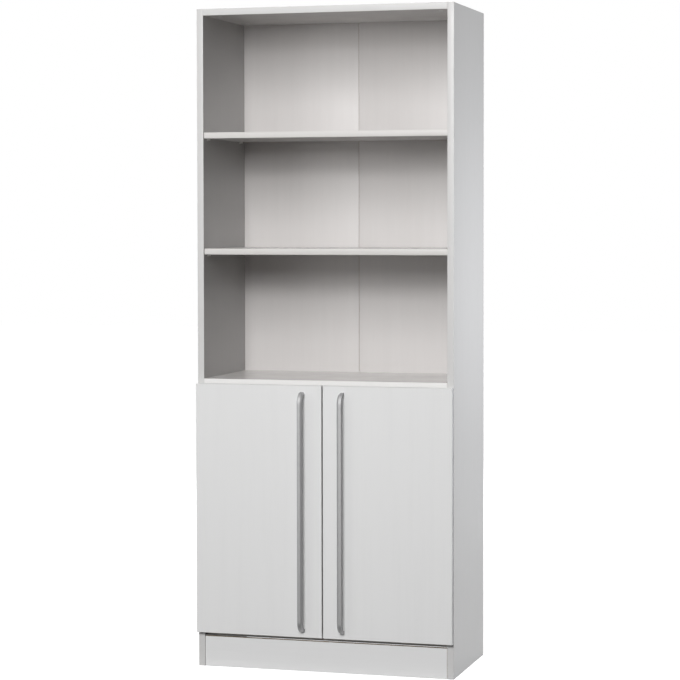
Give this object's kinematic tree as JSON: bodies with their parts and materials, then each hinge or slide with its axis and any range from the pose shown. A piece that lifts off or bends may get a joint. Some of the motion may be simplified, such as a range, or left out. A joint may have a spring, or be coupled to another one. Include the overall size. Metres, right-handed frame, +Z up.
{
  "type": "bookcase with cabinet doors",
  "caption": "Tall narrow white bookcase with open shelves above and a two-door cabinet below; long metal bow handles on doors hung from concealed hinges.",
  "frame": {"origin": "middle of the footprint's bounding box, on the floor", "axes": "+X to the object's right seen from the front, +Y to the back, +Z up; the front faces -Y"},
  "size_m": [0.8, 0.455, 2],
  "materials": {
    "white_board": "white melamine with a very faint upright grain",
    "door_board": "white melamine with a very faint upright grain",
    "back_board": "white-faced hardboard",
    "strip_plastic": "matt",
    "pin_steel": "nickel plated",
    "screw_steel": "zinc plated",
    "cam_zinc": "die-cast zinc",
    "dowel_wood": "plain beech",
    "hinge_steel": "nickel plated",
    "handle_metal": "satin",
    "bumper_plastic": "soft, slightly clear"
  },
  "bodies": {
    "carcass": {"left_side_panel": "white_board", "right_side_panel": "white_board", "top_panel": "white_board", "fixed_shelf": "white_board", "bottom_panel": "white_board", "upper_shelf": "white_board", "middle_shelf": "white_board", "cabinet_shelf": "white_board", "plinth_board": "white_board", "back_panel_left": "back_board", "back_panel_right": "back_board", "back_joint_strip": "strip_plastic", "upper_shelf_pins": "pin_steel", "middle_shelf_pins": "pin_steel", "cabinet_shelf_pins": "pin_steel", "cam_bolts": "screw_steel", "cam_discs": "cam_zinc", "wood_dowels": "dowel_wood", "back_screws": "screw_steel", "left_hinge_plates": "hinge_steel", "left_hinge_arms": "hinge_steel", "left_plate_screws": "screw_steel", "left_arm_screws": "screw_steel", "right_hinge_plates": "hinge_steel", "right_hinge_arms": "hinge_steel", "right_plate_screws": "screw_steel", "right_arm_screws": "screw_steel"},
    "left_links": {"left_hinge_links": "hinge_steel"},
    "right_links": {"right_hinge_links": "hinge_steel"},
    "left_leaf": {"left_door": "door_board", "left_handle": "handle_metal", "left_handle_screws": "screw_steel", "left_hinge_cups": "hinge_steel", "left_cup_screws": "screw_steel", "left_door_bumpers": "bumper_plastic"},
    "right_leaf": {"right_door": "door_board", "right_handle": "handle_metal", "right_handle_screws": "screw_steel", "right_hinge_cups": "hinge_steel", "right_cup_screws": "screw_steel", "right_door_bumpers": "bumper_plastic"}
  },
  "joints": [
    {"name": "left_link_swing", "type": "hinge", "parent": "carcass", "child": "left_links", "pos_m": [-0.364, -0.1445, 0.486], "axis": [0, 0, 1], "range_deg": [0, 23]},
    {"name": "left_door_swing", "type": "hinge", "parent": "left_links", "child": "left_leaf", "pos_m": [-0.3905, -0.1808, 0.486], "axis": [0, 0, -1], "range_deg": [0, 115]},
    {"name": "right_link_swing", "type": "hinge", "parent": "carcass", "child": "right_links", "pos_m": [0.364, -0.1445, 0.486], "axis": [0, 0, -1], "range_deg": [0, 23]},
    {"name": "right_door_swing", "type": "hinge", "parent": "right_links", "child": "right_leaf", "pos_m": [0.3905, -0.1808, 0.486], "axis": [0, 0, 1], "range_deg": [0, 115]}
  ],
  "couplings": [
    {"joint": "left_link_swing", "follows": "left_door_swing", "ratio": 0.2},
    {"joint": "right_link_swing", "follows": "right_door_swing", "ratio": 0.2}
  ]
}
